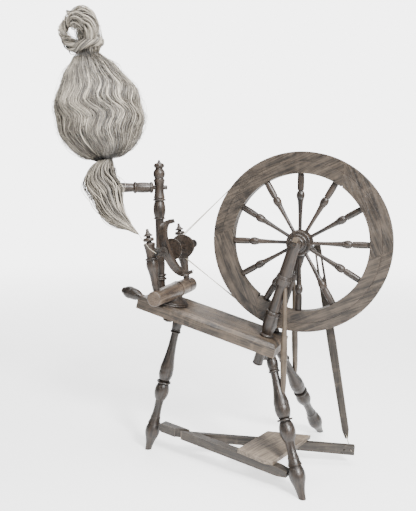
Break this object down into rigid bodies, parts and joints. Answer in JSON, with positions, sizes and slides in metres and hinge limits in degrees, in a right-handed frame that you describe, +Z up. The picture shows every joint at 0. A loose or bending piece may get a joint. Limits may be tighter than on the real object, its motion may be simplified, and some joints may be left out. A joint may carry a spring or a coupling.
{
  "type": "spinning wheel",
  "caption": "Treadle flax spinning wheel on a sloping three-legged table, with flyer, bobbin, drive band, footman and a dressed distaff.",
  "frame": {"origin": "on the floor, in the middle of the outline seen from above", "axes": "+Z up, +X along the table from the flyer to the wheel, +Y from the spinner's side to the back"},
  "size_m": [0.9394, 0.4704, 1.2842],
  "materials": {
    "rim_wood": "worn satin",
    "turned_wood": "worn satin",
    "table_wood": "raised grain, oiled",
    "pale_wood": "bare",
    "rough_wood": "sawn and foot-worn",
    "iron": "forged, dull",
    "leather": "greased",
    "linen_cord": "twisted linen",
    "flax": "combed fibre"
  },
  "bodies": {
    "stand": {"axle_keepers": "pale_wood", "axle_leather_back": "leather", "axle_leather_front": "leather", "brace_back": "pale_wood", "brace_front": "pale_wood", "drive_band": "linen_cord", "leg_back": "turned_wood", "leg_front": "turned_wood", "leg_left": "turned_wood", "spun_thread": "linen_cord", "table": "table_wood", "wheel_post_back": "turned_wood", "wheel_post_front": "turned_wood"},
    "wheel": {"axle_crank": "iron", "felloe_1": "rim_wood", "felloe_2": "rim_wood", "felloe_3": "rim_wood", "felloe_4": "rim_wood", "felloe_dowels": "rim_wood", "hub": "rim_wood", "spoke_01": "turned_wood", "spoke_02": "turned_wood", "spoke_03": "turned_wood", "spoke_04": "turned_wood", "spoke_05": "turned_wood", "spoke_06": "turned_wood", "spoke_07": "turned_wood", "spoke_08": "turned_wood", "spoke_09": "turned_wood", "spoke_10": "turned_wood", "spoke_11": "turned_wood", "spoke_12": "turned_wood"},
    "footman": {"footman": "rough_wood"},
    "treadle": {"treadle_bar": "rough_wood", "treadle_arm": "rough_wood", "treadle_board": "rough_wood", "treadle_pins": "iron", "footman_tie": "linen_cord"},
    "mother": {"mother_of_all": "turned_wood", "mother_pedestal": "turned_wood", "maiden_front": "turned_wood", "maiden_back": "turned_wood", "leather_front": "leather", "leather_back": "leather"},
    "screw": {"tension_screw": "turned_wood", "tension_handle": "turned_wood"},
    "flyer": {"flyer": "turned_wood", "flyer_hooks": "iron", "flyer_shaft": "iron", "flyer_whorl": "turned_wood"},
    "bobbin": {"bobbin": "turned_wood"},
    "distaff": {"distaff_post": "turned_wood", "distaff_arm": "turned_wood", "flax_tail": "flax"},
    "staff": {"distaff_staff": "turned_wood", "flax_bundle": "flax", "flax_topknot": "flax"}
  },
  "joints": [
    {"name": "wheel_spin", "type": "hinge", "parent": "stand", "child": "wheel", "pos_m": [0.22372, -0.03743, 0.64], "axis": [0, 1, 0], "continuous": true},
    {"name": "footman_swing", "type": "hinge", "parent": "wheel", "child": "footman", "pos_m": [0.25329, 0.07157, 0.60476], "axis": [0, 1, 0], "continuous": true},
    {"name": "treadle_rock", "type": "hinge", "parent": "stand", "child": "treadle", "pos_m": [-0.20192, -0.08062, 0.08], "axis": [0.9679, -0.2424, -0.0664], "range_deg": [-2.5, 19.5], "deforming": ["footman_tie"]},
    {"name": "tension_slide", "type": "slide", "parent": "stand", "child": "mother", "axis": [0.9673, 0, -0.2538], "range_m": [-0.008, 0.008], "deforming": ["drive_band", "spun_thread"]},
    {"name": "tension_turn", "type": "hinge", "parent": "stand", "child": "screw", "pos_m": [-0.14634, -0.07543, 0.4398], "axis": [0.9673, 0, -0.2538], "range_deg": [-580, 580]},
    {"name": "flyer_spin", "type": "hinge", "parent": "mother", "child": "flyer", "pos_m": [-0.12028, -0.22243, 0.617], "axis": [0, 1, 0], "continuous": true},
    {"name": "bobbin_spin", "type": "hinge", "parent": "flyer", "child": "bobbin", "pos_m": [-0.12028, -0.22243, 0.617], "axis": [0, 1, 0], "continuous": true},
    {"name": "distaff_turn", "type": "hinge", "parent": "stand", "child": "distaff", "pos_m": [-0.20128, -0.03043, 0.47075], "axis": [0, 0, 1], "range_deg": [-30, 30], "deforming": ["flax_tail", "spun_thread"]},
    {"name": "staff_turn", "type": "hinge", "parent": "distaff", "child": "staff", "pos_m": [-0.30528, -0.09843, 0.787], "axis": [-0.1946, -0.071, 0.9783], "continuous": true}
  ],
  "couplings": [
    {"joint": "footman_swing", "follows": "wheel_spin", "ratio": -1},
    {"joint": "flyer_spin", "follows": "wheel_spin", "ratio": 8.675},
    {"joint": "bobbin_spin", "follows": "wheel_spin", "ratio": 2.3659},
    {"joint": "tension_turn", "follows": "tension_slide", "rad_per_m": 1256.6}
  ]
}
